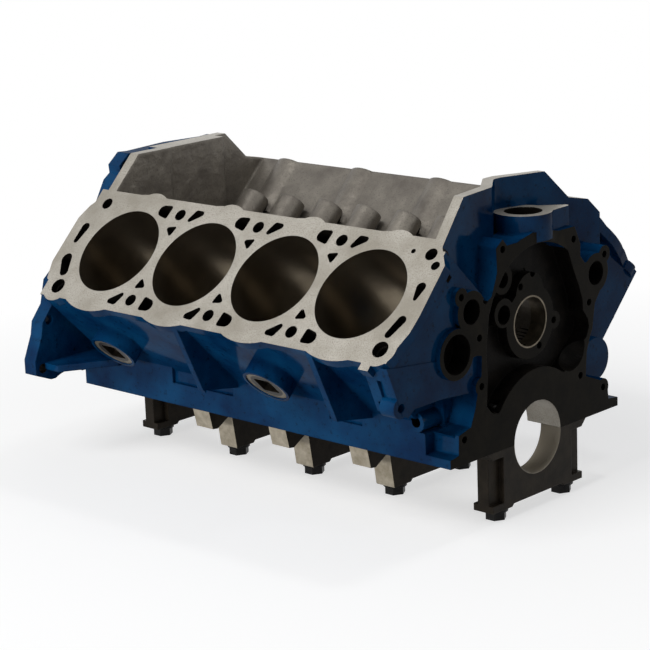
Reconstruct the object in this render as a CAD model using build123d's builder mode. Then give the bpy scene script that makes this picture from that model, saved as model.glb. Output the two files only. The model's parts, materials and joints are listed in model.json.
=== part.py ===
"""Bare cast-iron cylinder block of a 90 degree V8 engine, with its main bearing caps bolted on.

Millimetres. X runs along the crankshaft with the timing end at +X, the near bank is at -Y and Z is up.
The origin is on the crankshaft axis, in the middle of the centre main bearing, on the cap parting plane.
"""

import os
from math import sqrt

from build123d import *

# Cylinders and decks
bore_spacing = 124.46
bore_radius = 55.37
deck_height = 262.2
bank_stagger = 12.0
bore_foot = 100.2
deck_thickness = 12.0
deck_lip = 77.0
far_deck_lip = 74.0
deck_front = 287.0
deck_rear = -270.0
bulge_radius = 80.5
bulge_shift = -2.0
head_bolt_offset = 58.5
head_bolt_radius = 7.3
head_bolt_depth = 45.0
head_dowel_radius = 9.5
head_dowel_depth = 8.0
coolant_hole_depth = 26.0

# Banks and their side walls
wall_offset = 73.0
bank_front = 262.0
bank_rear = -258.0
far_bank_end = -246.0
end_block_front = 277.0
end_block_top = 64.0
bank_bottom = 110.0
plug_level = 181.0
plug_shift = -13.2
plug_boss_radius = 28.5
plug_boss_height = 91.0
gusset_positions = (-32.0, 171.0)
gusset_thickness = 8.0
gusset_tip_y = 202.0
gusset_tip_z = 47.0
end_wall_back = 244.0
end_wall_front = 278.0
far_end_wall_back = 216.0
far_end_wall_front = 246.0
far_boss_y = 134.0
far_boss_z = 54.0
far_boss_radius = 25.0
tube_x = 237.0
tube_z = 44.0
tube_radius = 11.0
tube_bore = 6.0
tube_length = 57.0
groove_back = 258.0
groove_width = 7.0

# Crankcase
rail_half_width = 147.5
rail_wall = 9.5
rail_foot = 20.0
rail_foot_height = 11.0
main_radius = 40.55
web_thickness = 24.0
bay_ceiling = 112.0
main_cap_positions = (269.3, bore_spacing, 0.0, -bore_spacing, -257.5)
front_face = 282.8
rear_face = -292.0
flange_thickness = 20.0
front_wall_start = 236.0
starter_radius = 42.0
starter_y = -190.0
starter_z = -12.5
starter_depth = 110.0
starter_web_length = 60.0
starter_web_top = 46.0
starter_web_floor = 38.0
skirt_pockets = ((-137.0, -89.0), (-83.0, -37.0), (112.0, 160.0))
skirt_pocket_floor = 26.0
skirt_pocket_depth = 4.5
skirt_rib_tip = 64.0

# Camshaft and lifters
cam_height = 127.5
cam_housing_radius = 28.9
cam_bearing_radius = 27.0
cam_bearing_length = 20.0
oil_hole_radius = 2.5
lifter_radius = 11.1
lifter_boss_radius = 16.5
lifter_offsets = (-39.5, 22.0)
column_radius = 30.0
column_proud = 5.0
column_foot = 185.0
lifter_top = 196.0
valley_floor = 172.0

# Timing chest and distributor seat
chest_back = 262.0
thrust_face = 275.0
chest_arc_radius = 77.0
ledge_height = 221.0
distributor_x = 254.0
distributor_y = 17.0
distributor_top = 244.0
distributor_ring = 32.0
distributor_radius = 21.0
valley_rail_height = 278.0
valley_wall = 13.5
valley_wall_near = 259.0
valley_wall_far = 241.5
rail_width = 12.5
cove_fillet = 13.0
far_rail_corner = 68.0
ledge_length = 42.0
seat_root = ledge_height - 6.0
mouth_floor = ledge_height - 4.0
pad_root = chest_back - 4.0
cam_pad_lobes = ((0.0, cam_height, 41.0), (0.0, 158.0, 24.0), (-45.0, 146.0, 16.0), (42.0, 121.0, 10.0))
gallery_boss = (-41.0, 181.0, 16.0)
gallery_boss_face = 271.0
gallery_mouth_radius = 9.0
pad_port = (-45.0, 144.0, 10.5)
pad_port_depth = 14.0
pad_bolts = ((41.0, 121.0), (15.0, 98.0), (-16.0, 169.0), (5.0, 180.0))
scoop_radius = 25.4
scoop_centre = (287.4, 61.0, 85.0)

# Main caps and bolts
cap_thickness = 27.0
cap_half_width = 79.0
cap_bottom = 68.0
cap_belly_half_width = 60.0
cap_belly = 65.0
cap_flare = 8.0
cap_pillar_setback = 6.0
wing_half_width = 120.0
wing_taper = 8.0
wing_bottom = 35.0
pillar_taper = 5.0
main_bolt_y = 58.0
main_bolt_radius = 6.35
bolt_hole_clearance = 0.5
thread_clearance = 0.1
main_thread_depth = 52.0
bolt_washer_radius = 13.5
bolt_washer_height = 3.0
bolt_head_width = 20.6
bolt_head_height = 9.0

# Plugs
side_plug_radius = 25.0
side_plug_length = 13.0
side_plug_inset = 1.5
side_plug_socket = 24.0
side_plug_socket_depth = 7.0
side_plug_socket_corner = 3.0
cup_plug_wall = 3.0
cup_plug_depth = 9.0
cup_plug_inset = 2.0
rear_core_radius = 20.0
gallery_plug_radius = 8.0
gallery_plug_length = 11.0
gallery_plug_inset = 1.0
gallery_socket = 8.0
gallery_socket_depth = 6.0
gallery_rise = 50.5
dowel_radius = 6.35
dowel_nose_radius = 6.1
dowel_seat = 14.0
dowel_stand = 8.0

# Front face holes as (y, z, radius)
rear_core_y = 118.0
rear_core_z = 150.0
bell_bolt_radius = 5.7
water_hole = (108.0, 161.5, 13.5)
core_hole = (133.0, 121.0, 21.5)
port_depth = 24.0
rear_seat_depth = 30.0
front_bolt_radius = 4.0
front_bolt_depth = 20.0

slant = sqrt(0.5)
bore_depth = deck_height - bore_foot
gallery_height = cam_height + gallery_rise
deck_level = deck_height * slant
lip_drop = deck_lip * slant
valley_root = valley_floor - 4.0
banks = (-1, 1)
cam_bearing_positions = (thrust_face - cam_bearing_length / 2, bore_spacing, 0.0, -bore_spacing, -254.0)
gallery_ends = [(-22, gallery_height), (22, gallery_height)]
bell_bolts = [(side * y, z) for side in banks for y, z in ((81, 259), (215, 96), (229, 40))]
bell_dowels = [(-92, 225), (92, 225)]
bore_places = [(bank_stagger + (k - 1.5) * bore_spacing, 0) for k in range(4)]
bolt_stations = [bank_stagger + (k - 2) * bore_spacing for k in range(5)]
bay_centres = [(k - 1.5) * bore_spacing for k in range(4)]
lifter_places = [(x + e, cam_height * slant) for x in bay_centres for e in lifter_offsets]


def deck_plane(side, drop=0.0):
    """One bank's deck, dropped along the bores; local y climbs towards the valley."""
    level = (deck_height - drop) * slant
    return Plane(origin=(0, side * level, level), x_dir=(-side, 0, 0), z_dir=(0, side, 1))


def wall_plane(side, distance):
    """A plane along one bank's outer wall; local y is the height along the bores."""
    reach = distance * slant
    return Plane(origin=(0, side * reach, -reach), x_dir=(-side, 0, 0), z_dir=(0, side, -1))


def section(x, points):
    """A closed outline of (y, z) points on the plane across the block at x."""
    with BuildSketch(Plane.YZ.offset(x)) as outline:
        with BuildLine():
            Polyline(*points, close=True)
        make_face()
    return outline.sketch


def mirrored(points):
    """The points followed by their mirror images across the middle of the block."""
    return points + [(-y, z) for y, z in reversed(points) if y != 0]


def deck_outline(side):
    """Machined face of one deck: a plate with scalloped long edges; the far one is shorter and narrower."""
    if side < 0:
        start = [
            (-221, 77), (-245, 75), (-263, 52), (deck_rear, 34), (deck_rear, -28), (-262, -52), (-221, -60),
        ]
        finish = [(266, 74), (246, 77)]
    else:
        start = [(-222, far_deck_lip), (-249, 54), (-252, 34), (-252, -28), (-246, -50), (-221, -62)]
        finish = [(266, far_deck_lip)]
    with BuildSketch(deck_plane(side)) as outline:
        with BuildLine():
            Polyline(
                *start, (-205, 1 - deck_lip), (262, -deck_lip), (277, -66), (286, -34), (deck_front, -14),
                (285, 48), *finish, close=True,
            )
        make_face()
        fillet(outline.vertices(), radius=5)
        with Locations(*[(x, bulge_shift) for x, _ in bore_places]):
            Circle(bulge_radius)
        with Locations((bolt_stations[4], -head_bolt_offset)):
            Circle(20)
        with Locations((bolt_stations[0], -head_bolt_offset)):
            Circle(20 if side < 0 else 13)
        with Locations((253, -78)):
            Rectangle(13, 14)
        if side > 0:
            with Locations((0, far_deck_lip + 20)):
                Rectangle(600, 40, mode=Mode.SUBTRACT)
            with Locations((bolt_stations[0], head_bolt_offset)):
                Circle(11.5)
    return outline.sketch


def rounded(*corners):
    """A rounded outline wrapped round circles, each given as (x, y, radius)."""
    with BuildSketch() as shape:
        for x, y, radius in corners:
            with Locations((x, y)):
                Circle(radius)
        make_hull()
    return shape.sketch


def coolant_holes(side):
    """Coolant openings of one deck; each group turns half round on the other edge of the deck."""
    with BuildSketch(deck_plane(side)) as holes:
        for x in bolt_stations[1:4]:
            for turn in (0, 180):
                with Locations(Location((x, 0, 0), (0, 0, turn))):
                    add(rounded((-29, 60.5, 7.5), (-21, 65, 3.5), (-21, 53.5, 2.5)))
                    add(rounded((18.5, 54.5, 3.2), (24, 63.5, 4.5), (31, 64, 3.5)))
                    add(rounded((-5.5, 38.5, 2.5), (3, 40.5, 2.2), (0.5, 32.5, 2.4)))
        add(rounded((270, 19, 5.8), (270, 5, 2.4)))
        add(rounded((268, -22, 5.5), (261, -40, 4.5)))
        with Locations((273.5, 46)):
            Circle(5.2)
        with Locations((236.5, 59)):
            Circle(2.8)
        if side < 0:
            add(rounded((-252, 4, 3.5), (-249.5, 23, 6.0)))
            add(rounded((-249, -22, 7.5), (-241.5, -38.5, 6.0)))
        else:
            add(rounded((-242.5, 6, 3.0), (-242, 20, 4.5)))
            add(rounded((-241, -20, 4.5), (-239, -32, 3.5)))
    return holes.sketch


def front_wall_outline():
    """Machined front face: timing cover flange, bearing wall and the water and core bosses."""
    water_y, water_z, water_radius = water_hole
    core_y, core_z, core_radius = core_hole
    with BuildSketch(Plane.YZ.offset(front_wall_start)) as outline:
        with BuildLine():
            Polyline(
                (-rail_half_width, 0), (-rail_half_width, 10), (-134, 12), (-133, 34), (-113, 38),
                (-105, 57), (-101, 72), (-94, 91), (-93, 111), (-100, 113), (-115, 112), (-120, 143),
                (-128, 152), (-128, 172), (-108, 180), (-93, 176), (-81, 168), (-75, 171), (-70, 182),
                (-65, 195), (-66, 221), (-55, 229), (-44, 217), (-24, 223), (-4, 227), (32, 223), (72, 215),
                (80, 200), (80, 186), (88, 177), (98, 178), (112, 150), (116, 141), (106, 128), (103, 112),
                (101, 100), (96, 91), (90, 75), (88, 48), (110, 39), (128, 32), (130, 12),
                (rail_half_width, 10), (rail_half_width, 0), close=True,
            )
        make_face()
        with Locations((-water_y, water_z), (water_y, water_z)):
            Circle(water_radius + 9)
        with Locations((-core_y, core_z)):
            Circle(core_radius + 6)
        with Locations((-124, 180), (124, 180), (-94, 78), (120, 28), (95, 131)):
            Circle(10)
    return outline.sketch


def chest_outline():
    """Timing chest recess; its lower edge is concentric with the crankshaft."""
    with BuildSketch(Plane.YZ.offset(front_face)) as outline:
        with BuildLine():
            Polyline(
                (-50, 55), (-66, 42), (-77, 44), (-86, 54), (-84, 88), (-85.5, 108), (-84, 125),
                (-79.5, 152), (-73, 167), (-52, 193),
            )
            ThreePointArc((-52, 193), (3, 214), (58, 196))
            Polyline((58, 196), (67, 174), (77, 153), (83, 137), (84, 124), (93, 112), (94.5, 103), (90, 93))
            Polyline((90, 93), (74, 82), (50, 62), (-50, 55))
        make_face()
        fillet(outline.vertices().filter_by(lambda v: v.Z > 100 or v.Y < -64), radius=5)
        with Locations((0, 0)):
            Circle(chest_arc_radius, mode=Mode.SUBTRACT)
    return outline.sketch


def flange_outline():
    """Bell housing flange at the rear, with a lobe at each bolt."""
    with BuildSketch(Plane.YZ.offset(rear_face)) as outline:
        with BuildLine():
            Polyline(
                *mirrored([
                    (0, 274), (-61, 272), (-75, 273), (-91, 260), (-90, 250), (-100, 243), (-118, 212),
                    (-203, 140), (-210, 112), (-225, 94), (-228, 78), (-240, 50), (-240, 33), (-218, 24),
                    (-rail_half_width, 24), (-rail_half_width, 0), (0, 0),
                ]),
                close=True,
            )
        make_face()
        fillet(outline.vertices().filter_by(lambda v: v.Z > 30), radius=6)
    return outline.sketch


def front_valley_wall():
    """Plan of the front valley end wall, which bends back round the distributor."""
    with BuildSketch(Plane.XY.offset(valley_root)) as plan:
        with BuildLine():
            Polyline(
                (272, -150), (253, -34), (226, 2), (226, 14), (245, 70), (258, 150), (258 - rail_width, 150),
                (239, 78), (226 - rail_width, 16), (226 - rail_width, -1),
                (253 - rail_width, -38), (272 - rail_width, -150), close=True,
            )
        make_face()
        fillet(plan.vertices().filter_by(lambda v: abs(v.Y) < 60), radius=cove_fillet)
    return plan.sketch


def rear_valley_wall():
    """Plan of the rear valley end wall, which follows the stagger of the banks."""
    with BuildSketch(Plane.XY.offset(valley_root)) as plan:
        with Locations((-valley_wall_far, -98)):
            Rectangle(valley_wall, 116)
        with Locations((-valley_wall_near, 98)):
            Rectangle(valley_wall, 116)
        with Locations((-(valley_wall_near + valley_wall_far) / 2, 0)):
            Rectangle(2 * valley_wall, 100)
    return plan.sketch


# Valley end walls, trimmed to a flat rail on top and to the slope of the decks at the sides
with BuildPart() as valley_ends:
    extrude(front_valley_wall(), amount=valley_rail_height)
    extrude(rear_valley_wall(), amount=valley_rail_height)
    roof = [
        (-60, 100), (-deck_level - 20, deck_level - 20),
        (valley_rail_height - 2 * deck_level, valley_rail_height), (far_rail_corner, valley_rail_height),
        (103, 244), (132, 238), (deck_level + 20, deck_level - 20), (60, 100),
    ]
    extrude(section(rear_face, roof), amount=front_face - rear_face, mode=Mode.INTERSECT)

# Engine block: one iron casting with two staggered banks of four bores on a deep-webbed crankcase
rail_top = rail_half_width - wall_offset / slant
crankcase_rear = rear_face + flange_thickness
front_corner = 249.0
with BuildPart() as engine_block:
    crankcase = mirrored([(0, 0), (-rail_half_width, 0), (-rail_half_width, rail_top), (-68, valley_floor)])
    extrude(section(crankcase_rear, crankcase), amount=front_corner - crankcase_rear)
    extrude(front_wall_outline(), amount=front_face - front_wall_start)
    extrude(flange_outline(), amount=flange_thickness)

    # Banks, with a thicker machined deck on each
    for side in banks:
        bank_end = bank_rear if side < 0 else far_bank_end
        for x_low, x_high, v_high in (
            (bank_end, bank_front, deck_lip if side < 0 else far_deck_lip),
            (bank_front, end_block_front, end_block_top),
        ):
            with BuildSketch(deck_plane(side)) as bank:
                with Locations(((x_low + x_high) / 2, (v_high - wall_offset) / 2)):
                    Rectangle(x_high - x_low, v_high + wall_offset)
            extrude(bank.sketch, amount=bank_bottom - deck_height)
        extrude(deck_outline(side), amount=-deck_thickness)

    # End walls that carry each bank down to the pan rail, with a groove between two ribs
    near_end_wall = [
        (-120, 40), (-150, 42), (-186, 60), (-215, 74),
        (3 - deck_level - lip_drop, deck_level - lip_drop - 3), (60 - deck_level, deck_level - 70),
    ]
    extrude(section(end_wall_back, near_end_wall), amount=end_wall_front - end_wall_back)
    groove = [(-205, 50), (-260, 50), (-260, 112), (-226, 112)]
    extrude(section(groove_back, groove), amount=groove_width, mode=Mode.SUBTRACT)
    far_end_wall = [(110, 70), (146, 80), (184, 82), (192, 88), (202, 109), (226, 134), (126, 116)]
    extrude(section(far_end_wall_back, far_end_wall), amount=far_end_wall_front - far_end_wall_back)

    # Rounded boss low on the far front corner, and a tube boss through the near one
    with BuildSketch(Plane.YZ.offset(far_end_wall_back)) as far_boss:
        with Locations((far_boss_y, far_boss_z)):
            Circle(far_boss_radius)
    extrude(far_boss.sketch, amount=bank_front - far_end_wall_back)
    with BuildSketch(Plane.XZ.offset(rail_half_width)) as tube:
        with Locations((tube_x, tube_z)):
            Circle(tube_radius)
    extrude(tube.sketch, amount=-tube_length)

    # Side gussets and core plug bosses
    for side in banks:
        for x in gusset_positions:
            gusset = [(side * y, z) for y, z in (
                (130, 50), (rail_half_width, 38), (gusset_tip_y, gusset_tip_z),
                (deck_level + lip_drop - 1, deck_level - lip_drop - 2), (deck_level - 30, deck_level - 50),
            )]
            extrude(section(x - gusset_thickness / 2, gusset), amount=gusset_thickness)
        with BuildSketch(wall_plane(side, plug_boss_height)) as bosses:
            with Locations(*[(bore_places[k][0] + plug_shift, plug_level) for k in (0, 2)]):
                Circle(plug_boss_radius)
        extrude(bosses.sketch, amount=wall_offset - 12 - plug_boss_height)

    # Shallow cored pockets above each pan rail, up to the bank's wall, with a thin rib between the rear two
    pocket_y = rail_half_width - skirt_pocket_depth
    for side in banks:
        pocket = [(side * y, z) for y, z in (
            (pocket_y, skirt_pocket_floor), (pocket_y, rail_top - skirt_pocket_depth),
            (rail_half_width + 2, rail_top + 2), (rail_half_width + 2, skirt_pocket_floor),
        )]
        for low, high in skirt_pockets:
            start = low if side < 0 else -high
            extrude(section(start, pocket), amount=high - low, mode=Mode.SUBTRACT)
        rib = [(side * y, z) for y, z in (
            (pocket_y - 2, skirt_pocket_floor - 4), (rail_half_width, skirt_pocket_floor - 4),
            (rail_half_width + skirt_rib_tip - rail_top, skirt_rib_tip), (pocket_y, skirt_rib_tip - 6),
        )]
        rib_low, rib_high = skirt_pockets[0][1] - 1, skirt_pockets[1][0] + 1
        start = rib_low if side < 0 else -rib_high
        extrude(section(start, rib), amount=rib_high - rib_low)

    # Web over the starter, and the pocket that clears it
    starter_web = [
        (-rail_half_width, starter_web_floor), (-225, starter_web_floor), (-226, starter_web_top),
        (-rail_half_width, starter_web_top),
    ]
    extrude(section(crankcase_rear, starter_web), amount=starter_web_length)
    with BuildSketch(Plane.YZ.offset(rear_face)) as starter:
        with Locations((starter_y, starter_z)):
            Circle(starter_radius)
    extrude(starter.sketch, amount=starter_depth, mode=Mode.SUBTRACT)
    with BuildSketch(Plane.XY) as web_trim:
        with BuildLine():
            Polyline(
                (crankcase_rear + 8, -250), (crankcase_rear + 70, -250),
                (crankcase_rear + 70, -rail_half_width), close=True,
            )
        make_face()
    extrude(web_trim.sketch, amount=starter_web_top + 2, mode=Mode.SUBTRACT)

    # Valley end walls and the ledge that carries the distributor
    add(valley_ends.part)
    ledge = [(-52, 160), (-56, 214), (-46, ledge_height), (70, ledge_height), (80, 200), (72, 160)]
    extrude(section(distributor_x - ledge_length, ledge), amount=front_face - distributor_x + ledge_length)
    with BuildSketch(Plane.XY.offset(seat_root)) as seat:
        with Locations((distributor_x, distributor_y)):
            Circle(distributor_ring)
        with Locations(Location((distributor_x, distributor_y, 0), (0, 0, 68))):
            add(rounded((0, 0, 26), (52, 0, 4)))
    extrude(seat.sketch, amount=distributor_top - seat_root)

    # Lifter bosses on the valley walls
    for side in banks:
        with BuildSketch(deck_plane(side, deck_height - lifter_top)) as lifter_bosses:
            with Locations(*lifter_places):
                Circle(lifter_boss_radius)
        extrude(lifter_bosses.sketch, amount=cam_height * slant + 30 - lifter_top)
        lip = deck_lip if side < 0 else far_deck_lip
        with BuildSketch(deck_plane(side)) as columns:
            with Locations(*[(x, lip + column_proud - column_radius) for x, _ in lifter_places[1::2]]):
                Circle(column_radius)
        extrude(columns.sketch, amount=column_foot - deck_height)

    # Crank bays between the bearing webs
    bay_half = (bore_spacing - web_thickness) / 2
    bay = mirrored([
        (0, 0), (rail_foot - rail_half_width, 0), (rail_foot - rail_half_width, rail_foot_height),
        (rail_wall - rail_half_width, rail_foot_height + 9), (rail_wall - rail_half_width, 30),
        (-126, bay_ceiling / slant - 126), (-58, bay_ceiling / slant - 58), (0, 118),
    ])
    for x in bay_centres:
        extrude(section(x - bay_half, bay), amount=2 * bay_half, mode=Mode.SUBTRACT)

    # Timing chest, with the cam bearing pad left standing in it
    extrude(chest_outline(), amount=chest_back - front_face, mode=Mode.SUBTRACT)
    with BuildSketch(Plane.YZ.offset(pad_root)) as cam_pad:
        for y, z, radius in cam_pad_lobes:
            with Locations((y, z)):
                Circle(radius)
    extrude(cam_pad.sketch, amount=thrust_face - pad_root)
    with BuildSketch(Plane.YZ.offset(pad_root)) as gallery_pad:
        with Locations(gallery_boss[:2]):
            Circle(gallery_boss[2])
    extrude(gallery_pad.sketch, amount=gallery_boss_face - pad_root)

    # Scoop that runs out of the chest at its lower far corner
    with Locations(scoop_centre):
        Sphere(scoop_radius, mode=Mode.SUBTRACT)

    # Main bore, cam tunnel and cylinders
    with BuildSketch(Plane.YZ.offset(rear_face)) as tunnels:
        Circle(main_radius)
        with Locations((0, cam_height)):
            Circle(cam_housing_radius)
    extrude(tunnels.sketch, amount=front_face - rear_face, mode=Mode.SUBTRACT)
    for side in banks:
        with BuildSketch(deck_plane(side)) as cylinders:
            with Locations(*bore_places):
                Circle(bore_radius)
        extrude(cylinders.sketch, amount=-bore_depth, mode=Mode.SUBTRACT)

    # Lifter bores down to the cam tunnel
    for side in banks:
        with BuildSketch(deck_plane(side, deck_height - lifter_top)) as lifters:
            with Locations(*lifter_places):
                Circle(lifter_radius)
        extrude(lifters.sketch, amount=cam_height * slant - lifter_top, mode=Mode.SUBTRACT)

    # Deck: head bolts, locating counterbores and coolant openings
    for side in banks:
        with BuildSketch(deck_plane(side)) as head_bolts:
            with Locations(*[(x, e * head_bolt_offset) for x in bolt_stations for e in (-1, 1)]):
                Circle(head_bolt_radius)
        extrude(head_bolts.sketch, amount=-head_bolt_depth, mode=Mode.SUBTRACT)
        with BuildSketch(deck_plane(side)) as locating:
            with Locations((bolt_stations[0], -head_bolt_offset), (bolt_stations[4], -head_bolt_offset)):
                Circle(head_dowel_radius)
        extrude(locating.sketch, amount=-head_dowel_depth, mode=Mode.SUBTRACT)
        extrude(coolant_holes(side), amount=-coolant_hole_depth, mode=Mode.SUBTRACT)

    # Distributor bore: a wide mouth over the pilot
    with BuildSketch(Plane.XY.offset(distributor_top)) as mouth:
        with Locations((distributor_x, distributor_y)):
            Circle(distributor_radius)
    extrude(mouth.sketch, amount=mouth_floor - distributor_top, mode=Mode.SUBTRACT)

    # Core plug seats in the side bosses
    for side in banks:
        with BuildSketch(wall_plane(side, plug_boss_height)) as seats:
            with Locations(*[(bore_places[k][0] + plug_shift, plug_level) for k in (0, 2)]):
                Circle(side_plug_radius)
        extrude(seats.sketch, amount=-side_plug_length - side_plug_inset, mode=Mode.SUBTRACT)

    # Front face holes
    with BuildSketch(Plane.YZ.offset(front_face)) as ports:
        with Locations((-water_hole[0], water_hole[1]), (water_hole[0], water_hole[1])):
            Circle(water_hole[2])
        with Locations((-core_hole[0], core_hole[1])):
            Circle(core_hole[2])
    extrude(ports.sketch, amount=-port_depth, mode=Mode.SUBTRACT)
    with BuildSketch(Plane.YZ.offset(front_face)) as cover_bolts:
        with Locations(
            (-124, 180), (124, 180), (-85, 169), (-96, 131), (95, 131), (-55, 218), (68, 207), (78, 51),
            (-94, 78), (-124, 27), (120, 28),
        ):
            Circle(front_bolt_radius)
    extrude(cover_bolts.sketch, amount=-front_bolt_depth, mode=Mode.SUBTRACT)
    with BuildSketch(Plane.YZ.offset(thrust_face)) as pad_holes:
        with Locations(pad_port[:2]):
            Circle(pad_port[2])
        with Locations(gallery_boss[:2]):
            Circle(gallery_mouth_radius)
        with Locations(*pad_bolts):
            Circle(front_bolt_radius)
    extrude(pad_holes.sketch, amount=-pad_port_depth, mode=Mode.SUBTRACT)
    with BuildSketch(Plane.XZ.offset(rail_half_width)) as tube_hole:
        with Locations((tube_x, tube_z)):
            Circle(tube_bore)
    extrude(tube_hole.sketch, amount=-tube_length, mode=Mode.SUBTRACT)

    # Rear face: bell housing bolts and dowels, core holes and oil galleries
    with BuildSketch(Plane.YZ.offset(rear_face)) as rear_bolts:
        with Locations(*bell_bolts):
            Circle(bell_bolt_radius)
    extrude(rear_bolts.sketch, amount=flange_thickness, mode=Mode.SUBTRACT)
    with BuildSketch(Plane.YZ.offset(rear_face)) as rear_seats:
        for side in banks:
            with Locations((side * rear_core_y, rear_core_z)):
                Circle(rear_core_radius)
        with Locations(*gallery_ends):
            Circle(gallery_plug_radius)
    extrude(rear_seats.sketch, amount=rear_seat_depth, mode=Mode.SUBTRACT)
    with BuildSketch(Plane.YZ.offset(rear_face)) as rear_dowels:
        with Locations(*bell_dowels):
            Circle(dowel_radius)
    extrude(rear_dowels.sketch, amount=dowel_seat, mode=Mode.SUBTRACT)

    # Main bolt threads
    with BuildSketch(Plane.XY) as threads:
        with Locations(*[(x, e * main_bolt_y) for x in main_cap_positions for e in (-1, 1)]):
            Circle(main_bolt_radius + thread_clearance)
    extrude(threads.sketch, amount=main_thread_depth, mode=Mode.SUBTRACT)
engine_block.part.label = "engine_block"

os.makedirs("parts", exist_ok=True)
export_step(engine_block.part, "parts/engine_block.step")


def cap_front_view(x, winged):
    """Front view of one main cap: two bolt pillars, a belly under the bore and, where winged, side wings."""
    foot = [(-cap_pillar_inner, -cap_bottom), (-cap_pillar_inner + 3, -cap_belly)]
    if winged:
        wing_end = wing_half_width - wing_taper
        points = [
            (-wing_half_width, 0), (-wing_end, -wing_bottom), (8 - wing_end, -wing_bottom - 1), (-86, -26),
            (-cap_half_width - 1, -28), (pillar_taper - cap_half_width, -cap_bottom),
        ]
    else:
        points = [
            (-cap_half_width - cap_flare, 0), (-cap_half_width, -cap_flare), (-cap_half_width, -cap_bottom),
        ]
    points += foot
    with BuildSketch(Plane.YZ.offset(x)) as outline:
        with BuildLine():
            Polyline(*mirrored(points), close=True)
        make_face()
        Circle(main_radius, mode=Mode.SUBTRACT)
    return outline.sketch


# Main bearing caps: iron castings, bored in place with the block; the middle three have side wings
cap_pillar_inner = main_bolt_y - 12
for number, x in enumerate(main_cap_positions, start=1):
    winged = 1 < number < 5
    with BuildPart() as cap:
        extrude(cap_front_view(x - cap_thickness / 2, winged), amount=cap_thickness)
        with BuildSketch(Plane.XY.offset(-cap_bottom)) as bolt_holes:
            with Locations((x, -main_bolt_y), (x, main_bolt_y)):
                Circle(main_bolt_radius + bolt_hole_clearance)
        extrude(bolt_holes.sketch, amount=cap_bottom, mode=Mode.SUBTRACT)
        if not winged:
            for end in (-1, 1):
                face = x + end * cap_thickness / 2
                with BuildSketch(Plane.YZ.offset(face)) as setback:
                    with Locations((-cap_half_width, -cap_bottom / 2), (cap_half_width, -cap_bottom / 2)):
                        Rectangle(2 * (cap_half_width - cap_belly_half_width), cap_bottom - 2 * cap_flare)
                extrude(setback.sketch, amount=-end * cap_pillar_setback, mode=Mode.SUBTRACT)
    cap.part.label = f"main_cap_{number}"
    export_step(cap.part, f"parts/main_cap_{number}.step")


# Main cap bolts: two long flanged hex bolts to each cap, each a solid of its own
bolt_places = [(x, e * main_bolt_y) for x in main_cap_positions for e in (-1, 1)]
with BuildPart() as cap_bolts:
    with BuildSketch(Plane.XY.offset(-cap_bottom - bolt_washer_height)) as washers:
        with Locations(*bolt_places):
            Circle(bolt_washer_radius)
    extrude(washers.sketch, amount=bolt_washer_height)
    with BuildSketch(Plane.XY.offset(-cap_bottom - bolt_washer_height - bolt_head_height)) as heads:
        with Locations(*bolt_places):
            RegularPolygon(radius=bolt_head_width / 2, side_count=6, major_radius=False)
    extrude(heads.sketch, amount=bolt_head_height)
    with BuildSketch(Plane.XY.offset(-cap_bottom)) as shanks:
        with Locations(*bolt_places):
            Circle(main_bolt_radius)
    extrude(shanks.sketch, amount=main_thread_depth - 4 + cap_bottom)
    chamfer(cap_bolts.edges().group_by(Axis.Z)[-1], length=1.2)
cap_bolts.part.label = "main_cap_bolts"
export_step(cap_bolts.part, "parts/main_cap_bolts.step")

# Camshaft bearings: thin steel-backed bushes pressed into the webs, split by an oil hole
for number, x in enumerate(cam_bearing_positions, start=1):
    with BuildPart() as bush:
        with BuildSketch(Plane.YZ.offset(x - cam_bearing_length / 2)) as ring:
            with Locations((0, cam_height)):
                Circle(cam_housing_radius)
                Circle(cam_bearing_radius, mode=Mode.SUBTRACT)
        extrude(amount=cam_bearing_length)
        with BuildSketch(Plane.XY.offset(cam_height - cam_housing_radius)) as oil_hole:
            with Locations((x, 0)):
                Circle(oil_hole_radius)
        extrude(oil_hole.sketch, amount=cam_housing_radius, mode=Mode.SUBTRACT)
    bush.part.label = f"cam_bearing_{number}"
    export_step(bush.part, f"parts/cam_bearing_{number}.step")


def cup_plug(plane, radius):
    """A pressed steel cup plug, open towards the outside, with its floor on the plane's inner side."""
    with BuildPart() as cup:
        with BuildSketch(plane):
            Circle(radius)
        extrude(amount=-cup_plug_depth)
        with BuildSketch(plane):
            Circle(radius - cup_plug_wall)
        extrude(amount=cup_plug_wall - cup_plug_depth, mode=Mode.SUBTRACT)
    return cup


# Screw-in core plugs in the side bosses, with a square key socket
for side, bank_name in zip(banks, ("near", "far")):
    for number, k in enumerate((0, 2), start=1):
        seat = wall_plane(side, plug_boss_height - side_plug_inset)
        with BuildPart() as plug:
            with BuildSketch(seat):
                with Locations((bore_places[k][0] + plug_shift, plug_level)):
                    Circle(side_plug_radius - thread_clearance)
            extrude(amount=-side_plug_length)
            with BuildSketch(seat):
                with Locations((bore_places[k][0] + plug_shift, plug_level)):
                    RectangleRounded(side_plug_socket, side_plug_socket, side_plug_socket_corner)
            extrude(amount=-side_plug_socket_depth, mode=Mode.SUBTRACT)
        plug.part.label = f"side_core_plug_{bank_name}_{number}"
        export_step(plug.part, f"parts/side_core_plug_{bank_name}_{number}.step")

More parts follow.
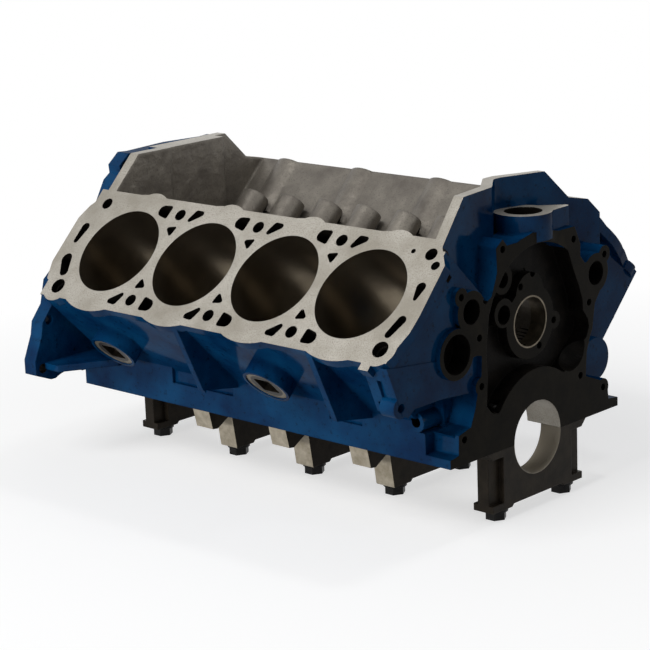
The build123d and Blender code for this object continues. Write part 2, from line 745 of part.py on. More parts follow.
# Cup plugs at the rear: one closes the cam tunnel and one each bank's end core hole
cup_x = rear_face + cup_plug_inset
cam_mouth = Plane(origin=(cup_x, 0, cam_height), x_dir=(0, 1, 0), z_dir=(-1, 0, 0))
cam_plug = cup_plug(cam_mouth, cam_housing_radius)
cam_plug.part.label = "cam_rear_plug"
export_step(cam_plug.part, "parts/cam_rear_plug.step")
for side, bank_name in zip(banks, ("near", "far")):
    mouth_centre = (cup_x, side * rear_core_y, rear_core_z)
    core_plug = cup_plug(Plane(origin=mouth_centre, x_dir=(0, 1, 0), z_dir=(-1, 0, 0)), rear_core_radius)
    core_plug.part.label = f"rear_core_plug_{bank_name}"
    export_step(core_plug.part, f"parts/rear_core_plug_{bank_name}.step")

# Threaded plugs in the rear ends of the oil galleries, with a hexagon socket
with BuildPart() as gallery_plugs:
    with BuildSketch(Plane.YZ.offset(rear_face + gallery_plug_inset)) as plug_faces:
        with Locations(*gallery_ends):
            Circle(gallery_plug_radius - thread_clearance)
    extrude(plug_faces.sketch, amount=gallery_plug_length)
    with BuildSketch(Plane.YZ.offset(rear_face + gallery_plug_inset)) as plug_sockets:
        with Locations(*gallery_ends):
            RegularPolygon(radius=gallery_socket / 2, side_count=6, major_radius=False)
    extrude(plug_sockets.sketch, amount=gallery_socket_depth, mode=Mode.SUBTRACT)
gallery_plugs.part.label = "oil_gallery_plugs"
export_step(gallery_plugs.part, "parts/oil_gallery_plugs.step")

# Steel dowels that line up the bell housing
with BuildPart() as housing_dowels:
    with BuildSketch(Plane.YZ.offset(rear_face + dowel_seat)) as dowel_ends:
        with Locations(*bell_dowels):
            Circle(dowel_radius)
    extrude(dowel_ends.sketch, amount=-dowel_seat)
    with BuildSketch(Plane.YZ.offset(rear_face)) as dowel_noses:
        with Locations(*bell_dowels):
            Circle(dowel_nose_radius)
    extrude(dowel_noses.sketch, amount=-dowel_stand)
    chamfer(housing_dowels.edges().group_by(Axis.X)[0], length=1.0)
housing_dowels.part.label = "bell_housing_dowels"
export_step(housing_dowels.part, "parts/bell_housing_dowels.step")
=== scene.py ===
"""Looks of a bare V8 cylinder block with its main bearing caps bolted on.

Metres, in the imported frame: X along the crankshaft with the timing end at +X, the near bank at -Y, Z up.
"""

import json
from math import cos, hypot, radians, sin, sqrt, tau

import bmesh
import bpy
from mathutils import Matrix, Vector
from mathutils.bvhtree import BVHTree

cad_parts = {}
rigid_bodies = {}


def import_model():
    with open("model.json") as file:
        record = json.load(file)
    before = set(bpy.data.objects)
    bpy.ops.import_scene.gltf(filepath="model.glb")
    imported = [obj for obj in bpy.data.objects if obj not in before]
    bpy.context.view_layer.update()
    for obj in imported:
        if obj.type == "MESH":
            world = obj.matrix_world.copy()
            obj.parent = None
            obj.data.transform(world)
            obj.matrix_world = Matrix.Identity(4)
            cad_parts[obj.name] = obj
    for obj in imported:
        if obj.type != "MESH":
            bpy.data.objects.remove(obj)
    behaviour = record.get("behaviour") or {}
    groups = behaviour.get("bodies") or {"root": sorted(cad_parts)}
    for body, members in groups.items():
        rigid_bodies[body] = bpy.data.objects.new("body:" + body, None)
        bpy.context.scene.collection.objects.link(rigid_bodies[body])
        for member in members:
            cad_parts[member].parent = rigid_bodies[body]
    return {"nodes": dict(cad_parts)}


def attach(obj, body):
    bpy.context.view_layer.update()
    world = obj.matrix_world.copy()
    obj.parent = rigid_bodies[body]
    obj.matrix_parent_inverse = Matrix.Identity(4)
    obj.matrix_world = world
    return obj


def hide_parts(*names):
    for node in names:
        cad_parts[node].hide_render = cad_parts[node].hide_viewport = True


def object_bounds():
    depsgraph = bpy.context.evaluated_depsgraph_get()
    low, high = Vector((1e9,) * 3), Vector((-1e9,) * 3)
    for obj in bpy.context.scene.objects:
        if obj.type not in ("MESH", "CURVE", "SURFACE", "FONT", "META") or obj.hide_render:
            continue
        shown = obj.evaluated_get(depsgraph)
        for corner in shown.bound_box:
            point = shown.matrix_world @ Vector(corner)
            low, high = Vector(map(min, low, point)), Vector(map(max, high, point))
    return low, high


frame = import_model()
cad_low, cad_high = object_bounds()

# The camera stands to the right of the near bank, a little above the decks, as the photograph was taken.
# Its place, roll and lens come from fitting the bore centres, the deck's edges and the main bore.
azimuth, elevation, roll = radians(43.51), radians(14.17), radians(-2.2)
camera_place = Vector((1.71413, -1.83687, 0.71911))
photo_pixels, focal_pixels = 650, 2228.35
back = Vector((sin(azimuth) * cos(elevation), -cos(azimuth) * cos(elevation), sin(elevation)))
right = Vector((cos(azimuth), sin(azimuth), 0))
up = back.cross(right)
lens = bpy.data.cameras.new("photo_lens")
lens.sensor_width = 36
lens.lens = focal_pixels * lens.sensor_width / photo_pixels
lens.clip_end = 50
camera = bpy.data.objects.new("photo_camera", lens)
rolled = (cos(roll) * right + sin(roll) * up, cos(roll) * up - sin(roll) * right, back)
camera.matrix_world = Matrix.Translation(camera_place) @ Matrix(rolled).transposed().to_4x4()
bpy.context.scene.collection.objects.link(camera)
bpy.context.scene.camera = camera
bpy.context.scene.view_settings.view_transform = "Standard"


# The block: one grey iron casting poured in sand, enamelled blue outside with its machined faces masked.
# Decks, rails and joint faces are milled, the bores are honed, and the valley and crankcase stay as cast.
def linear(hex_colour):
    """An sRGB hex colour as linear red, green, blue and alpha."""
    parts = [int(hex_colour[i:i + 2], 16) / 255 for i in (1, 3, 5)]
    return [c / 12.92 if c <= 0.04045 else ((c + 0.055) / 1.055) ** 2.4 for c in parts] + [1]


def add(tree, kind, inputs=None, **settings):
    """Adds a shader node, sets its properties, and feeds its inputs with values or other nodes' outputs."""
    made = tree.nodes.new("ShaderNode" + kind)
    for name, value in settings.items():
        setattr(made, name, value)
    for name, value in (inputs or {}).items():
        if isinstance(value, bpy.types.NodeSocket):
            tree.links.new(value, made.inputs[name])
        else:
            made.inputs[name].default_value = value
    return made


def empty_material(name):
    """A new material without a surface, its node tree, and the place of each point in metres."""
    made = bpy.data.materials.new(name)
    made.use_nodes = True
    made.node_tree.nodes.clear()
    return made, made.node_tree, add(made.node_tree, "TexCoord").outputs["Object"]


def mottle(tree, place, colour, spots):
    """Lays spots over a colour. Each has its grain in mm, detail, roughness and tint, and the heights of the
    grain at which it starts and is full. Inputs 6 and 7 of a mix are its two colours."""
    for grain_mm, detail, roughness, tint, start, full in spots:
        settings = {"Vector": place, "Scale": 1000 / grain_mm, "Detail": detail, "Roughness": roughness}
        grain = add(tree, "TexNoise", settings).outputs["Fac"]
        share = add(tree, "MapRange", {"Value": grain, "From Min": start, "From Max": full})
        mix = {"Factor": share.outputs["Result"], 6: colour, 7: linear(tint)}
        colour = add(tree, "Mix", mix, data_type="RGBA").outputs[2]
    return colour


def roughen(tree, place, normal, layers):
    """Lays grain over a normal. Each layer has its size and depth in mm, its detail and its roughness."""
    for grain_mm, depth_mm, detail, roughness in layers:
        settings = {"Vector": place, "Scale": 1000 / grain_mm, "Detail": detail, "Roughness": roughness}
        grain = add(tree, "TexNoise", settings).outputs["Fac"]
        bump = {"Height": grain, "Distance": depth_mm / 1000, "Strength": 1.0, "Normal": normal}
        normal = add(tree, "Bump", bump).outputs["Normal"]
    return normal


# Gloss enamel sprayed on sand-cast iron: the sand's grain shows through as orange peel, and dirt lies in the
# hollows as darker spots.
enamel, tree, place = empty_material("gloss_enamel_on_sand_cast_iron")
colour = mottle(tree, place, linear("#052B52"), [
    (55, 4, 0.5, "#0B446F", 0.35, 0.65),
    (7, 6, 0.7, "#04121F", 0.44, 0.26),
])
normal = add(tree, "Bevel", {"Radius": 0.0026}, samples=4).outputs["Normal"]
normal = roughen(tree, place, normal, [(2.2, 0.22, 3, 0.5), (11, 0.8, 3, 0.5)])
shader = add(tree, "BsdfPrincipled", {
    "Base Color": colour, "Normal": normal, "Metallic": 0.0, "Roughness": 0.4, "Specular IOR Level": 0.0,
    "Coat Weight": 0.14, "Coat Roughness": 0.1,
})
add(tree, "OutputMaterial", {"Surface": shader.outputs["BSDF"]})

# Sand-cast iron left bare in the valley and crankcase: warm grey, satin, with the sand's coarse grain.
raw_iron, tree, place = empty_material("sand_cast_grey_iron")
colour = mottle(tree, place, linear("#67615A"), [
    (30, 5, 0.6, "#8B857B", 0.3, 0.7),
    (1.8, 4, 0.6, "#5A554E", 0.46, 0.26),
])
normal = add(tree, "Bevel", {"Radius": 0.005}, samples=4).outputs["Normal"]
normal = roughen(tree, place, normal, [(1.6, 0.22, 3, 0.55), (14, 1.2, 3, 0.5)])
shader = add(tree, "BsdfPrincipled", {
    "Base Color": colour, "Normal": normal, "Metallic": 0.4, "Roughness": 0.4, "Specular IOR Level": 0.3,
})
add(tree, "OutputMaterial", {"Surface": shader.outputs["BSDF"]})

# Milled iron: warm light grey; the cutter leaves faint arcs, and graphite in the iron a fine dark mottle.
# Real feed marks are under half a millimetre apart, so the arcs are drawn as waves 10 mm apart to show.
# A wave runs through 20 radians for each unit of scaled length.
milled, tree, place = empty_material("face_milled_grey_iron")
arc_mm, wave_radians = 10.053, 20
colour = mottle(tree, place, linear("#958F83"), [
    (60, 6, 0.6, "#B5B0A6", 0.34, 0.62),
    (1.4, 4, 0.6, "#8B857B", 0.52, 0.32),
])
normal = add(tree, "Bevel", {"Radius": 0.0006}, samples=4).outputs["Normal"]
spacing = {"Vector": place, "Scale": tau / wave_radians * 1000 / arc_mm, "Distortion": 0.8, "Detail": 2.0}
arcs = add(tree, "TexWave", spacing, wave_type="RINGS", rings_direction="SPHERICAL").outputs["Fac"]
cut = {"Height": arcs, "Distance": 0.000012, "Strength": 1.0, "Normal": normal}
normal = roughen(tree, place, add(tree, "Bump", cut).outputs["Normal"], [(0.9, 0.03, 3, 0.5)])
shader = add(tree, "BsdfPrincipled", {
    "Base Color": colour, "Normal": normal, "Metallic": 0.55, "Roughness": 0.42,
})
add(tree, "OutputMaterial", {"Surface": shader.outputs["BSDF"]})

# Honed iron: darker and smoother, brown with a film of oil, with the stones' crossing scratches.
# Real scratches are hair-fine, so they are drawn as waves 7.5 mm apart to show.
honed, tree, place = empty_material("honed_grey_iron")
scratch_mm = 7.54
colour = mottle(tree, place, linear("#675D4E"), [(45, 4, 0.5, "#8A7F6D", 0.3, 0.7)])
normal = add(tree, "Bevel", {"Radius": 0.0004}, samples=4).outputs["Normal"]
for direction in ("X", "DIAGONAL"):
    spacing = {"Vector": place, "Scale": tau / wave_radians * 1000 / scratch_mm, "Distortion": 3.0}
    hatch = add(tree, "TexWave", spacing, wave_type="BANDS", bands_direction=direction).outputs["Fac"]
    cut = {"Height": hatch, "Distance": 0.000008, "Strength": 1.0, "Normal": normal}
    normal = add(tree, "Bump", cut).outputs["Normal"]
shader = add(tree, "BsdfPrincipled", {
    "Base Color": colour, "Normal": normal, "Metallic": 0.9, "Roughness": 0.27,
})
add(tree, "OutputMaterial", {"Surface": shader.outputs["BSDF"]})

# Milled end faces of the timing end, painted brown-black beside the decks: painted shade for the shade they
# stand in.
painted_shade_end_iron, tree, place = empty_material("milled_iron_painted_shade")
colour = mottle(tree, place, linear("#100E0A"), [
    (26, 6, 0.65, "#221E17", 0.3, 0.7),
    (70, 3, 0.5, "#332E25", 0.58, 0.72),
])
normal = add(tree, "Bevel", {"Radius": 0.0008}, samples=4).outputs["Normal"]
normal = roughen(tree, place, normal, [(1.1, 0.05, 3, 0.5)])
shader = add(tree, "BsdfPrincipled", {
    "Base Color": colour, "Normal": normal, "Metallic": 0.0, "Roughness": 0.34, "Specular IOR Level": 0.03,
})
add(tree, "OutputMaterial", {"Surface": shader.outputs["BSDF"]})

# Holes, ports, water pockets and the timing chest's floor: raw iron painted black, painted shade for these
# hollows.
painted_shade_hollow_iron, tree, place = empty_material("hollow_iron_painted_shade_black")
colour = mottle(tree, place, linear("#0C0B0A"), [(14, 4, 0.5, "#1D1A17", 0.3, 0.7)])
normal = add(tree, "Bevel", {"Radius": 0.0015}, samples=4).outputs["Normal"]
normal = roughen(tree, place, normal, [(2.0, 0.3, 3, 0.5)])
shader = add(tree, "BsdfPrincipled", {
    "Base Color": colour, "Normal": normal, "Metallic": 0.0, "Roughness": 0.36, "Specular IOR Level": 0.03,
})
add(tree, "OutputMaterial", {"Surface": shader.outputs["BSDF"]})

# The near front corner is cored back to a thin wall, which leaves a tube boss standing clear of it, and the
# end wall's rib ends in a bolt ear. Both are part of the same pour, so they are joined to the casting.
rough_mesh = frame["nodes"]["engine_block"].data.copy()
welded = bmesh.new()
welded.from_mesh(rough_mesh)
bmesh.ops.remove_doubles(welded, verts=welded.verts, dist=0.000001)
welded.to_mesh(rough_mesh)
welded.free()
rough_casting = bpy.data.objects.new("rough_casting", rough_mesh)
bpy.context.scene.collection.objects.link(rough_casting)


def closed_shape(group, rings):
    """A closed mesh between two like rings of points, put in a group of shapes that cut or join as one."""
    count = len(rings) // 2
    walls = [(k, (k + 1) % count, count + (k + 1) % count, count + k) for k in range(count)]
    ends = [tuple(reversed(range(count))), tuple(range(count, 2 * count))]
    mesh = bpy.data.meshes.new(group.name)
    mesh.from_pydata(rings, [], ends + walls)
    group.objects.link(bpy.data.objects.new(group.name, mesh))


def prism(group, x_low, x_high, outline):
    """A block that runs along X, from its outline as (y, z) points."""
    closed_shape(group, [(x, y, z) for x in (x_low, x_high) for y, z in outline])


def rod(group, start, end, radius):
    """A round bar between two points."""
    start, end = Vector(start), Vector(end)
    axis = (end - start).normalized()
    spoke = axis.orthogonal().normalized()
    count = 48
    turns = [Matrix.Rotation(radians(360 * k / count), 3, axis) for k in range(count)]
    closed_shape(group, [at + turn @ spoke * radius for at in (start, end) for turn in turns])


cored, poured, drilled = [bpy.data.collections.new(name) for name in ("cored", "poured", "drilled")]
corner_outline = [
    (-0.1333, 0.0332), (-0.1128, 0.0383), (-0.1048, 0.057), (-0.1013, 0.0725), (-0.150, 0.077),
    (-0.196, 0.077), (-0.206, 0.070), (-0.240, 0.068), (-0.240, 0.0332),
]
behind_boss_outline = [
    (-0.118, 0.0332), (-0.122, 0.066), (-0.165, 0.066), (-0.185, 0.060), (-0.240, 0.060), (-0.240, 0.0332),
]
boss_radius, tube_radius, ear_hole_radius = 0.0112, 0.0058, 0.0048
tube_x, tube_z, ear_y, ear_z = 0.237, 0.044, -0.2165, 0.0825
prism(cored, 0.252, 0.290, corner_outline)
prism(cored, 0.240, 0.2525, behind_boss_outline)
rod(poured, (tube_x, -0.148, tube_z), (tube_x, -0.090, tube_z), boss_radius)
rod(poured, (0.2775, ear_y, ear_z), (0.258, ear_y, ear_z), boss_radius)
rod(drilled, (tube_x, -0.160, tube_z), (tube_x, -0.105, tube_z), tube_radius)
rod(drilled, (0.285, ear_y, ear_z), (0.250, ear_y, ear_z), ear_hole_radius)
for group, operation in ((cored, "DIFFERENCE"), (poured, "UNION"), (drilled, "DIFFERENCE")):
    shaping = rough_casting.modifiers.new(group.name, "BOOLEAN")
    shaping.operation, shaping.solver = operation, "EXACT"
    shaping.operand_type, shaping.collection = "COLLECTION", group
shaped = rough_casting.evaluated_get(bpy.context.evaluated_depsgraph_get())
casting_mesh = bpy.data.meshes.new_from_object(shaped)
casting_mesh.name = "block_casting"
if "custom_normal" in casting_mesh.attributes:
    casting_mesh.attributes.remove(casting_mesh.attributes["custom_normal"])
casting_mesh.shade_smooth()
casting_mesh.set_sharp_from_angle(angle=radians(25))
for group in (cored, poured, drilled):
    for shape in list(group.objects):
        bpy.data.objects.remove(shape)
    bpy.data.collections.remove(group)
bpy.data.objects.remove(rough_casting)

# Where the casting's own faces lie. A bank's height is measured from the crankshaft at right angles to its
# deck, its width across from the row of bores, and its length towards +X for the near bank, turned half
# round for the far one.
slant = sqrt(0.5)
flat = 0.0003

# End faces: the timing face, the face round the main bore, the pads of the ports, and the rear.
front_face, thrust_face, port_face, rear_face = 0.2828, 0.275, 0.271, -0.292

# Decks, with the floors of their water pockets.
deck_height, deck_half_width, deck_front = 0.2622, 0.0722, 0.2765
near_deck_rear, far_deck_rear = -0.2577, -0.2457
pocket_depth, lowest_pocket = 0.0265, 0.21

# Cylinder bores and main bore.
bore_radius, bore_foot, bore_slack = 0.05537, 0.1, 0.001
bore_places = [0.012 + (k - 1.5) * 0.12446 for k in range(4)]
main_radius, main_slack = 0.04055, 0.0006

# The valley: tops of the tappet columns, end rails, distributor's seat, cam tunnel, and the walls round it.
tappet_top = 0.196
end_rail_level, end_rail_rear, front_rail, rear_rail = 0.2365, -0.268, 0.2, -0.235
seat_x, seat_y, seat_radius, seat_floor, seat_lip = 0.254, 0.017, 0.0213, 0.2165, 0.238
cam_level, cam_radius, cam_front = 0.1275, 0.0296, 0.262
valley_side, valley_low, valley_high = 0.0747, 0.13, 0.279
valley_step, rear_wall_near, rear_wall_far = 0.0505, -0.2370, -0.2525
front_wall_plan = [
    (-0.150, 0.2595), (-0.038, 0.2405), (-0.001, 0.2135), (0.016, 0.2135), (0.078, 0.239), (0.150, 0.2455),
]

# The timing end: chest, round scoop beside the cam, core hole, water ports, and the groove by the bolt ear.
chest_floor, deepest_front_hole = 0.2615, 0.2
chest_outline = [
    (-0.050, 0.055), (-0.066, 0.042), (-0.077, 0.044), (-0.086, 0.054), (-0.084, 0.088), (-0.0855, 0.108),
    (-0.084, 0.125), (-0.0795, 0.152), (-0.073, 0.167), (-0.052, 0.193), (-0.026, 0.209), (0.003, 0.214),
    (0.032, 0.209), (0.058, 0.196), (0.067, 0.174), (0.077, 0.153), (0.083, 0.137), (0.084, 0.124),
    (0.093, 0.112), (0.0945, 0.103), (0.090, 0.093), (0.074, 0.082), (0.050, 0.062),
]
scoop_centre, scoop_radius = Vector((0.2874, 0.061, 0.085)), 0.0258
core_y, core_z, core_radius, core_floor = 0.133, 0.121, 0.022, 0.25
port_y, port_z, port_radius = 0.108, 0.1615, 0.0145
groove_y, groove_low, groove_high = -0.18, 0.045, 0.115

# The crankcase.
case_low, case_high, case_half_width, case_half_length = -0.005, 0.127, 0.1384, 0.2375

# The faces of the whole casting, to look from any of them at what stands round it.
corners = [vertex.co for vertex in casting_mesh.vertices]
surroundings = BVHTree.FromPolygons(corners, [face.vertices for face in casting_mesh.polygons])


def front_wall_at(y):
    """Where the inner side of the front valley wall stands, at one y."""
    for (y_low, x_low), (y_high, x_high) in zip(front_wall_plan, front_wall_plan[1:]):
        if y <= y_high:
            return x_low + (x_high - x_low) * max(y - y_low, 0) / (y_high - y_low)
    return front_wall_plan[-1][1]


def in_chest(y, z):
    """True inside the outline of the timing chest, by counting the sides that a line towards +Y crosses."""
    inside = False
    for (y_a, z_a), (y_b, z_b) in zip(chest_outline, chest_outline[1:] + chest_outline[:1]):
        if (z_a > z) != (z_b > z) and y < y_a + (z - z_a) * (y_b - y_a) / (z_b - z_a):
            inside = not inside
    return inside


def in_hole(centre, normal, width):
    """True for the wall of a drilled or cored hole: a narrow facet that has iron across from it, and iron
    round most of the space between."""
    widest_facet, widest_hole, reach, fewest_hits, clear_of_face = 0.0032, 0.0275, 0.026, 5, 0.0002
    if width > widest_facet:
        return False
    start = centre + clear_of_face * normal
    hit = surroundings.ray_cast(start, normal, widest_hole)
    if hit[0] is None:
        return False
    middle = (start + hit[0]) / 2
    sideways = normal.orthogonal().normalized()
    turns = [Matrix.Rotation(radians(45 * k), 3, normal) @ sideways for k in range(8)]
    return sum(surroundings.ray_cast(middle, turn, reach)[0] is not None for turn in turns) >= fewest_hits


def finish_of(centre, normal, width):
    """Which finish one face of the casting has, from where it lies, which way it looks and its width."""
    x, y, z = centre
    side = 1 if y > 0 else -1
    height, across, length = (side * y + z) * slant, (z - side * y) * slant, side * -x
    out = normal.dot(Vector((0, side, 1))) * slant
    faces_deck, stands_up, faces_front = out > 0.99, abs(out) < 0.2, normal.x > 0.9

    # The decks, with their water pockets and bolt holes, and the bores; the pockets are painted black as
    # painted shade.
    if abs(height - deck_height) < flat and faces_deck:
        return milled
    deck_rear = near_deck_rear if side < 0 else far_deck_rear
    within_deck = abs(across) < deck_half_width and deck_rear < length < deck_front
    if within_deck and faces_deck and lowest_pocket < height < deck_height - flat:
        return painted_shade_hollow_iron
    from_bore = abs(hypot(min(abs(length - place) for place in bore_places), across) - bore_radius)
    if stands_up and bore_foot < height < deck_height and from_bore < bore_slack:
        return honed
    if within_deck and stands_up and height > deck_height - pocket_depth:
        return painted_shade_hollow_iron

    # The main bearing seats, the end faces and the pan rails.
    if hypot(y, z) < main_radius + main_slack:
        return milled
    # The timing end's milled faces get their brown-black painted shade.
    if faces_front and min(abs(x - front_face), abs(x - thrust_face), abs(x - port_face)) < flat:
        return painted_shade_end_iron
    if (normal.x < -0.9 and abs(x - rear_face) < flat) or (normal.z < -0.99 and abs(z) < flat):
        return milled

    # The end rails over the valley, the tops of the tappet columns, the distributor's seat, the cam tunnel.
    if normal.z > 0.5 and z > end_rail_level and not rear_rail < x < front_rail and x > end_rail_rear:
        return milled
    if faces_deck and abs(height - tappet_top) < flat:
        return milled
    # Below its lip the distributor's bore is painted black as painted shade.
    if z > seat_floor and hypot(x - seat_x, y - seat_y) < seat_radius:
        return milled if z > seat_lip else painted_shade_hollow_iron
    if hypot(y, z - cam_level) < cam_radius and x < cam_front:
        return raw_iron

    # The hollows of the timing end and the walls of holes, painted black as painted shade.
    if (centre - scoop_centre).length < scoop_radius:
        return painted_shade_hollow_iron
    in_groove = y < groove_y and groove_low < z < groove_high
    if not in_groove and in_hole(centre, normal, width):
        return painted_shade_hollow_iron
    if hypot(abs(y) - core_y, z - core_z) < core_radius and core_floor < x < front_face - flat:
        return painted_shade_hollow_iron
    air = centre + 0.001 * normal
    if chest_floor < x < front_face and in_chest(air.y, air.z):
        return painted_shade_hollow_iron
    in_port = hypot(abs(y) - port_y, z - port_z) < port_radius
    if faces_front and deepest_front_hole < x < front_face - flat and (in_port or in_chest(y, z)):
        return painted_shade_hollow_iron

    # The valley and the crankcase, left as cast. All the rest was painted.
    rear_wall = rear_wall_far if y > valley_step else rear_wall_near
    in_valley = (air.z - abs(air.y)) * slant > valley_side and valley_low < z < valley_high
    if in_valley and rear_wall < air.x < front_wall_at(y):
        return raw_iron
    if case_low < z < case_high and abs(air.y) < case_half_width and abs(air.x) < case_half_length:
        return raw_iron
    return enamel


finishes = [enamel, raw_iron, milled, honed, painted_shade_end_iron, painted_shade_hollow_iron]
casting_mesh.materials.clear()
for finish in finishes:
    casting_mesh.materials.append(finish)
for face in casting_mesh.polygons:
    outline = [corners[i] for i in face.vertices]
    longest = max((a - b).length for a, b in zip(outline, outline[1:] + outline[:1]))
    face.material_index = finishes.index(finish_of(face.center, face.normal, 2 * face.area / longest))
casting = bpy.data.objects.new("block_casting", casting_mesh)
bpy.context.scene.collection.objects.link(casting)
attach(casting, "root")
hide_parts("engine_block")

# Main bearing caps: iron castings bolted down under the block's webs and bored bright in line with it.
# They are dark as cast, but for the ends of the three inner caps, which are milled to a light beige.
cap_iron, tree, place = empty_material("milled_cast_cap_iron")
inner_cap_reach, bored_from, bored_to = 0.2, 0.0410, 0.0412
cast = mottle(tree, place, linear("#191510"), [(20, 5, 0.5, "#302A22", 0.3, 0.7)])
ends = mottle(tree, place, linear("#A79C87"), [(9, 5, 0.6, "#CFC5B2", 0.3, 0.7)])
position = add(tree, "SeparateXYZ", {"Vector": place}).outputs
facing = add(tree, "SeparateXYZ", {"Vector": add(tree, "NewGeometry").outputs["True Normal"]}).outputs
looks_sideways = add(tree, "Math", {0: facing["Y"]}, operation="ABSOLUTE").outputs[0]
along = add(tree, "Math", {0: position["X"]}, operation="ABSOLUTE").outputs[0]
on_inner_cap = add(tree, "Math", {0: along, 1: inner_cap_reach}, operation="LESS_THAN").outputs[0]
on_end = add(tree, "Math", {0: looks_sideways, 1: on_inner_cap}, operation="MULTIPLY").outputs[0]
on_end = add(tree, "MapRange", {"Value": on_end, "From Min": 0.65, "From Max": 0.75}).outputs["Result"]
dressed = add(tree, "Mix", {"Factor": on_end, 6: cast, 7: ends}, data_type="RGBA").outputs[2]
radial = add(tree, "CombineXYZ", {"Y": position["Y"], "Z": position["Z"]}).outputs["Vector"]
from_axis = add(tree, "VectorMath", {0: radial}, operation="LENGTH").outputs["Value"]
past_bore = add(tree, "MapRange", {"Value": from_axis, "From Min": bored_from, "From Max": bored_to})
bored = {"Factor": past_bore.outputs["Result"], 6: linear("#A79E8E"), 7: dressed}
colour = add(tree, "Mix", bored, data_type="RGBA").outputs[2]
normal = add(tree, "Bevel", {"Radius": 0.0014}, samples=4).outputs["Normal"]
normal = roughen(tree, place, normal, [(1.8, 0.2, 4, 0.5)])
shader = add(tree, "BsdfPrincipled", {
    "Base Color": colour, "Normal": normal, "Metallic": 0.15, "Roughness": 0.42, "Specular IOR Level": 0.08,
})
add(tree, "OutputMaterial", {"Surface": shader.outputs["BSDF"]})
for number in range(1, 6):
    cap = frame["nodes"][f"main_cap_{number}"]
    cap.data.materials.clear()
    cap.data.materials.append(cap_iron)

# Cap bolts and gallery plugs: forged steel, screwed into the block, with a black oxide skin dull with oil.
black_oxide, tree, place = empty_material("black_oxide_steel")
colour = mottle(tree, place, linear("#0C0C0D"), [(6, 3, 0.5, "#1E1D1C", 0.3, 0.7)])
normal = add(tree, "Bevel", {"Radius": 0.0008}, samples=4).outputs["Normal"]
normal = roughen(tree, place, normal, [(0.8, 0.03, 2, 0.5)])
shader = add(tree, "BsdfPrincipled", {
    "Base Color": colour, "Normal": normal, "Metallic": 0.5, "Roughness": 0.4, "Specular IOR Level": 0.2,
})
add(tree, "OutputMaterial", {"Surface": shader.outputs["BSDF"]})
for name in ("main_cap_bolts", "oil_gallery_plugs"):
    screwed = frame["nodes"][name]
    screwed.data.materials.clear()
    screwed.data.materials.append(black_oxide)

# Core plugs screwed into the side walls: turned iron with a dull film of oil, lighter on the rim, which is
# told by its distance from the plug's axis. Inside the rim the face and key socket are painted black:
# painted shade for the dark recess.
# All four plugs stand at one distance from two middles, so one material serves them.
plug_iron, tree, place = empty_material("turned_plug_iron")
plug_middle, plug_reach, plug_level = 0.12446, 0.06343, 0.181
rim_from, rim_to = 0.0192, 0.0204
rim = mottle(tree, place, linear("#5A5347"), [(8, 4, 0.5, "#857C6C", 0.3, 0.7)])
plug_face_painted_shade = mottle(tree, place, linear("#14110D"), [(5, 4, 0.5, "#2B251D", 0.3, 0.7)])
position = add(tree, "SeparateXYZ", {"Vector": place}).outputs
outward = add(tree, "Math", {0: position["Y"]}, operation="ABSOLUTE").outputs[0]
climb = add(tree, "Math", {0: outward, 1: position["Z"]}, operation="ADD").outputs[0]
climb = add(tree, "Math", {0: climb, 1: slant, 2: -plug_level}, operation="MULTIPLY_ADD").outputs[0]
aside = add(tree, "Math", {0: position["X"]}, operation="ABSOLUTE").outputs[0]
for distance in (plug_middle, plug_reach):
    aside = add(tree, "Math", {0: aside, 1: distance}, operation="SUBTRACT").outputs[0]
    aside = add(tree, "Math", {0: aside}, operation="ABSOLUTE").outputs[0]
from_plug = add(tree, "CombineXYZ", {"X": aside, "Y": climb}).outputs["Vector"]
from_plug = add(tree, "VectorMath", {0: from_plug}, operation="LENGTH").outputs["Value"]
on_rim = add(tree, "MapRange", {"Value": from_plug, "From Min": rim_from, "From Max": rim_to})
rimmed = {"Factor": on_rim.outputs["Result"], 6: plug_face_painted_shade, 7: rim}
colour = add(tree, "Mix", rimmed, data_type="RGBA").outputs[2]
normal = add(tree, "Bevel", {"Radius": 0.0008}, samples=4).outputs["Normal"]
normal = roughen(tree, place, normal, [(0.9, 0.04, 2, 0.5)])
shader = add(tree, "BsdfPrincipled", {
    "Base Color": colour, "Normal": normal, "Metallic": 0.4, "Roughness": 0.45, "Specular IOR Level": 0.2,
})
add(tree, "OutputMaterial", {"Surface": shader.outputs["BSDF"]})
for name in ("near_1", "near_2", "far_1", "far_2"):
    plug = frame["nodes"][f"side_core_plug_{name}"]
    plug.data.materials.clear()
    plug.data.materials.append(plug_iron)

# Camshaft bushes, pressed cup plugs and dowels: turned and drawn steel and bearing metal, pressed into the
# block, bright under a brown film of oil.
turned_steel, tree, place = empty_material("turned_plain_steel")
colour = mottle(tree, place, linear("#4E473B"), [(10, 4, 0.5, "#736A5B", 0.3, 0.7)])
normal = add(tree, "Bevel", {"Radius": 0.0006}, samples=4).outputs["Normal"]
normal = roughen(tree, place, normal, [(0.9, 0.03, 2, 0.5)])
shader = add(tree, "BsdfPrincipled", {
    "Base Color": colour, "Normal": normal, "Metallic": 0.8, "Roughness": 0.36,
})
add(tree, "OutputMaterial", {"Surface": shader.outputs["BSDF"]})
pressed_names = [f"cam_bearing_{number}" for number in range(1, 6)]
pressed_names += ["cam_rear_plug", "rear_core_plug_near", "rear_core_plug_far", "bell_housing_dowels"]
for name in pressed_names:
    pressed = frame["nodes"][name]
    pressed.data.materials.clear()
    pressed.data.materials.append(turned_steel)

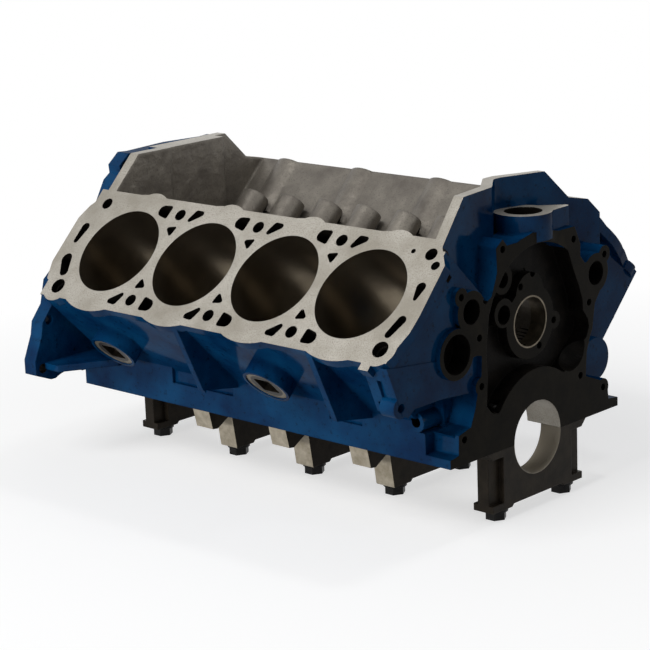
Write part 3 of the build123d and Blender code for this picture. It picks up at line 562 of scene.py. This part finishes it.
# Floor: pale paper that keeps the object's shadow near it and fades to plain white further out.
half_floor, fade_from, fade_to = 6, 0.35, 0.95
floor_mesh = bpy.data.meshes.new("floor")
floor_corners = [(x * half_floor, y * half_floor, 0) for x, y in ((-1, -1), (1, -1), (1, 1), (-1, 1))]
floor_mesh.from_pydata(floor_corners, [], [(0, 1, 2, 3)])
floor = bpy.data.objects.new("floor", floor_mesh)
floor.location.z = cad_low.z
bpy.context.scene.collection.objects.link(floor)
paper, tree, place = empty_material("pale_paper_floor")
colour = mottle(tree, place, linear("#BEBEBE"), [(4, 3, 0.5, "#C4C4C4", 0.0, 1.0)])
lit_paper = add(tree, "BsdfPrincipled", {
    "Base Color": colour, "Metallic": 0.0, "Roughness": 0.9, "Specular IOR Level": 0.1,
}).outputs["BSDF"]
glow = add(tree, "Emission", {"Color": (1, 1, 1, 1), "Strength": 0.62}).outputs["Emission"]
near_paper = add(tree, "AddShader", {0: lit_paper, 1: glow}).outputs["Shader"]
white = add(tree, "Emission", {"Color": (1, 1, 1, 1), "Strength": 1.0}).outputs["Emission"]
distance = add(tree, "VectorMath", {0: place}, operation="LENGTH").outputs["Value"]
far_share = add(tree, "MapRange", {"Value": distance, "From Min": fade_from, "From Max": fade_to})
shown = add(tree, "MixShader", {0: far_share.outputs["Result"], 1: near_paper, 2: white}).outputs["Shader"]
rays = add(tree, "LightPath").outputs
seen = rays["Is Camera Ray"]
for kind in ("Is Glossy Ray", "Is Transmission Ray"):
    seen = add(tree, "Math", {0: seen, 1: rays[kind]}, operation="MAXIMUM").outputs[0]
mixed = add(tree, "MixShader", {0: seen, 1: lit_paper, 2: shown})
add(tree, "OutputMaterial", {"Surface": mixed.outputs["Shader"]})
floor_mesh.materials.append(paper)

# Studio: a white surround that camera and gloss see, over a soft fill; a wide box above the near deck,
# a dimmer one low before the near bank, a small one overhead, and a small one at the timing end for the
# paint's highlights.
sky = bpy.data.worlds.new("studio_sky")
sky.use_nodes = True
tree = sky.node_tree
tree.nodes.clear()
rays = add(tree, "LightPath").outputs
seen = rays["Is Camera Ray"]
for kind in ("Is Glossy Ray", "Is Transmission Ray"):
    seen = add(tree, "Math", {0: seen, 1: rays[kind]}, operation="MAXIMUM").outputs[0]
soft = add(tree, "Background", {"Color": linear("#D6DCE4"), "Strength": 0.17}).outputs["Background"]
white = add(tree, "Background", {"Color": (1, 1, 1, 1), "Strength": 1.0}).outputs["Background"]
mixed = add(tree, "MixShader", {0: seen, 1: soft, 2: white})
add(tree, "OutputWorld", {"Surface": mixed.outputs["Shader"]})
bpy.context.scene.world = sky


def soft_box(name, place, target, width, height, watts):
    """A rectangular lamp that looks at a point."""
    lamp = bpy.data.lights.new(name, "AREA")
    lamp.shape = "RECTANGLE"
    lamp.size, lamp.size_y = width, height
    lamp.energy = watts
    holder = bpy.data.objects.new(name, lamp)
    aim = (Vector(target) - Vector(place)).to_track_quat("-Z", "Y")
    holder.matrix_world = Matrix.Translation(place) @ aim.to_matrix().to_4x4()
    bpy.context.scene.collection.objects.link(holder)


soft_box("over_near_deck_box", (-0.1, -1.9, 2.1), (0, 0, 0.15), 1.3, 0.9, 32)
soft_box("overhead_box", (0.3, 0.7, 2.5), (0, 0, 0.15), 0.3, 0.3, 7)
soft_box("near_bank_box", (-0.2, -2.6, 0.25), (0, -0.1, 0.1), 1.2, 0.5, 22)
soft_box("timing_end_box", (2.2, 0.6, 1.5), (0.2, 0, 0.15), 0.14, 0.2, 2.5)
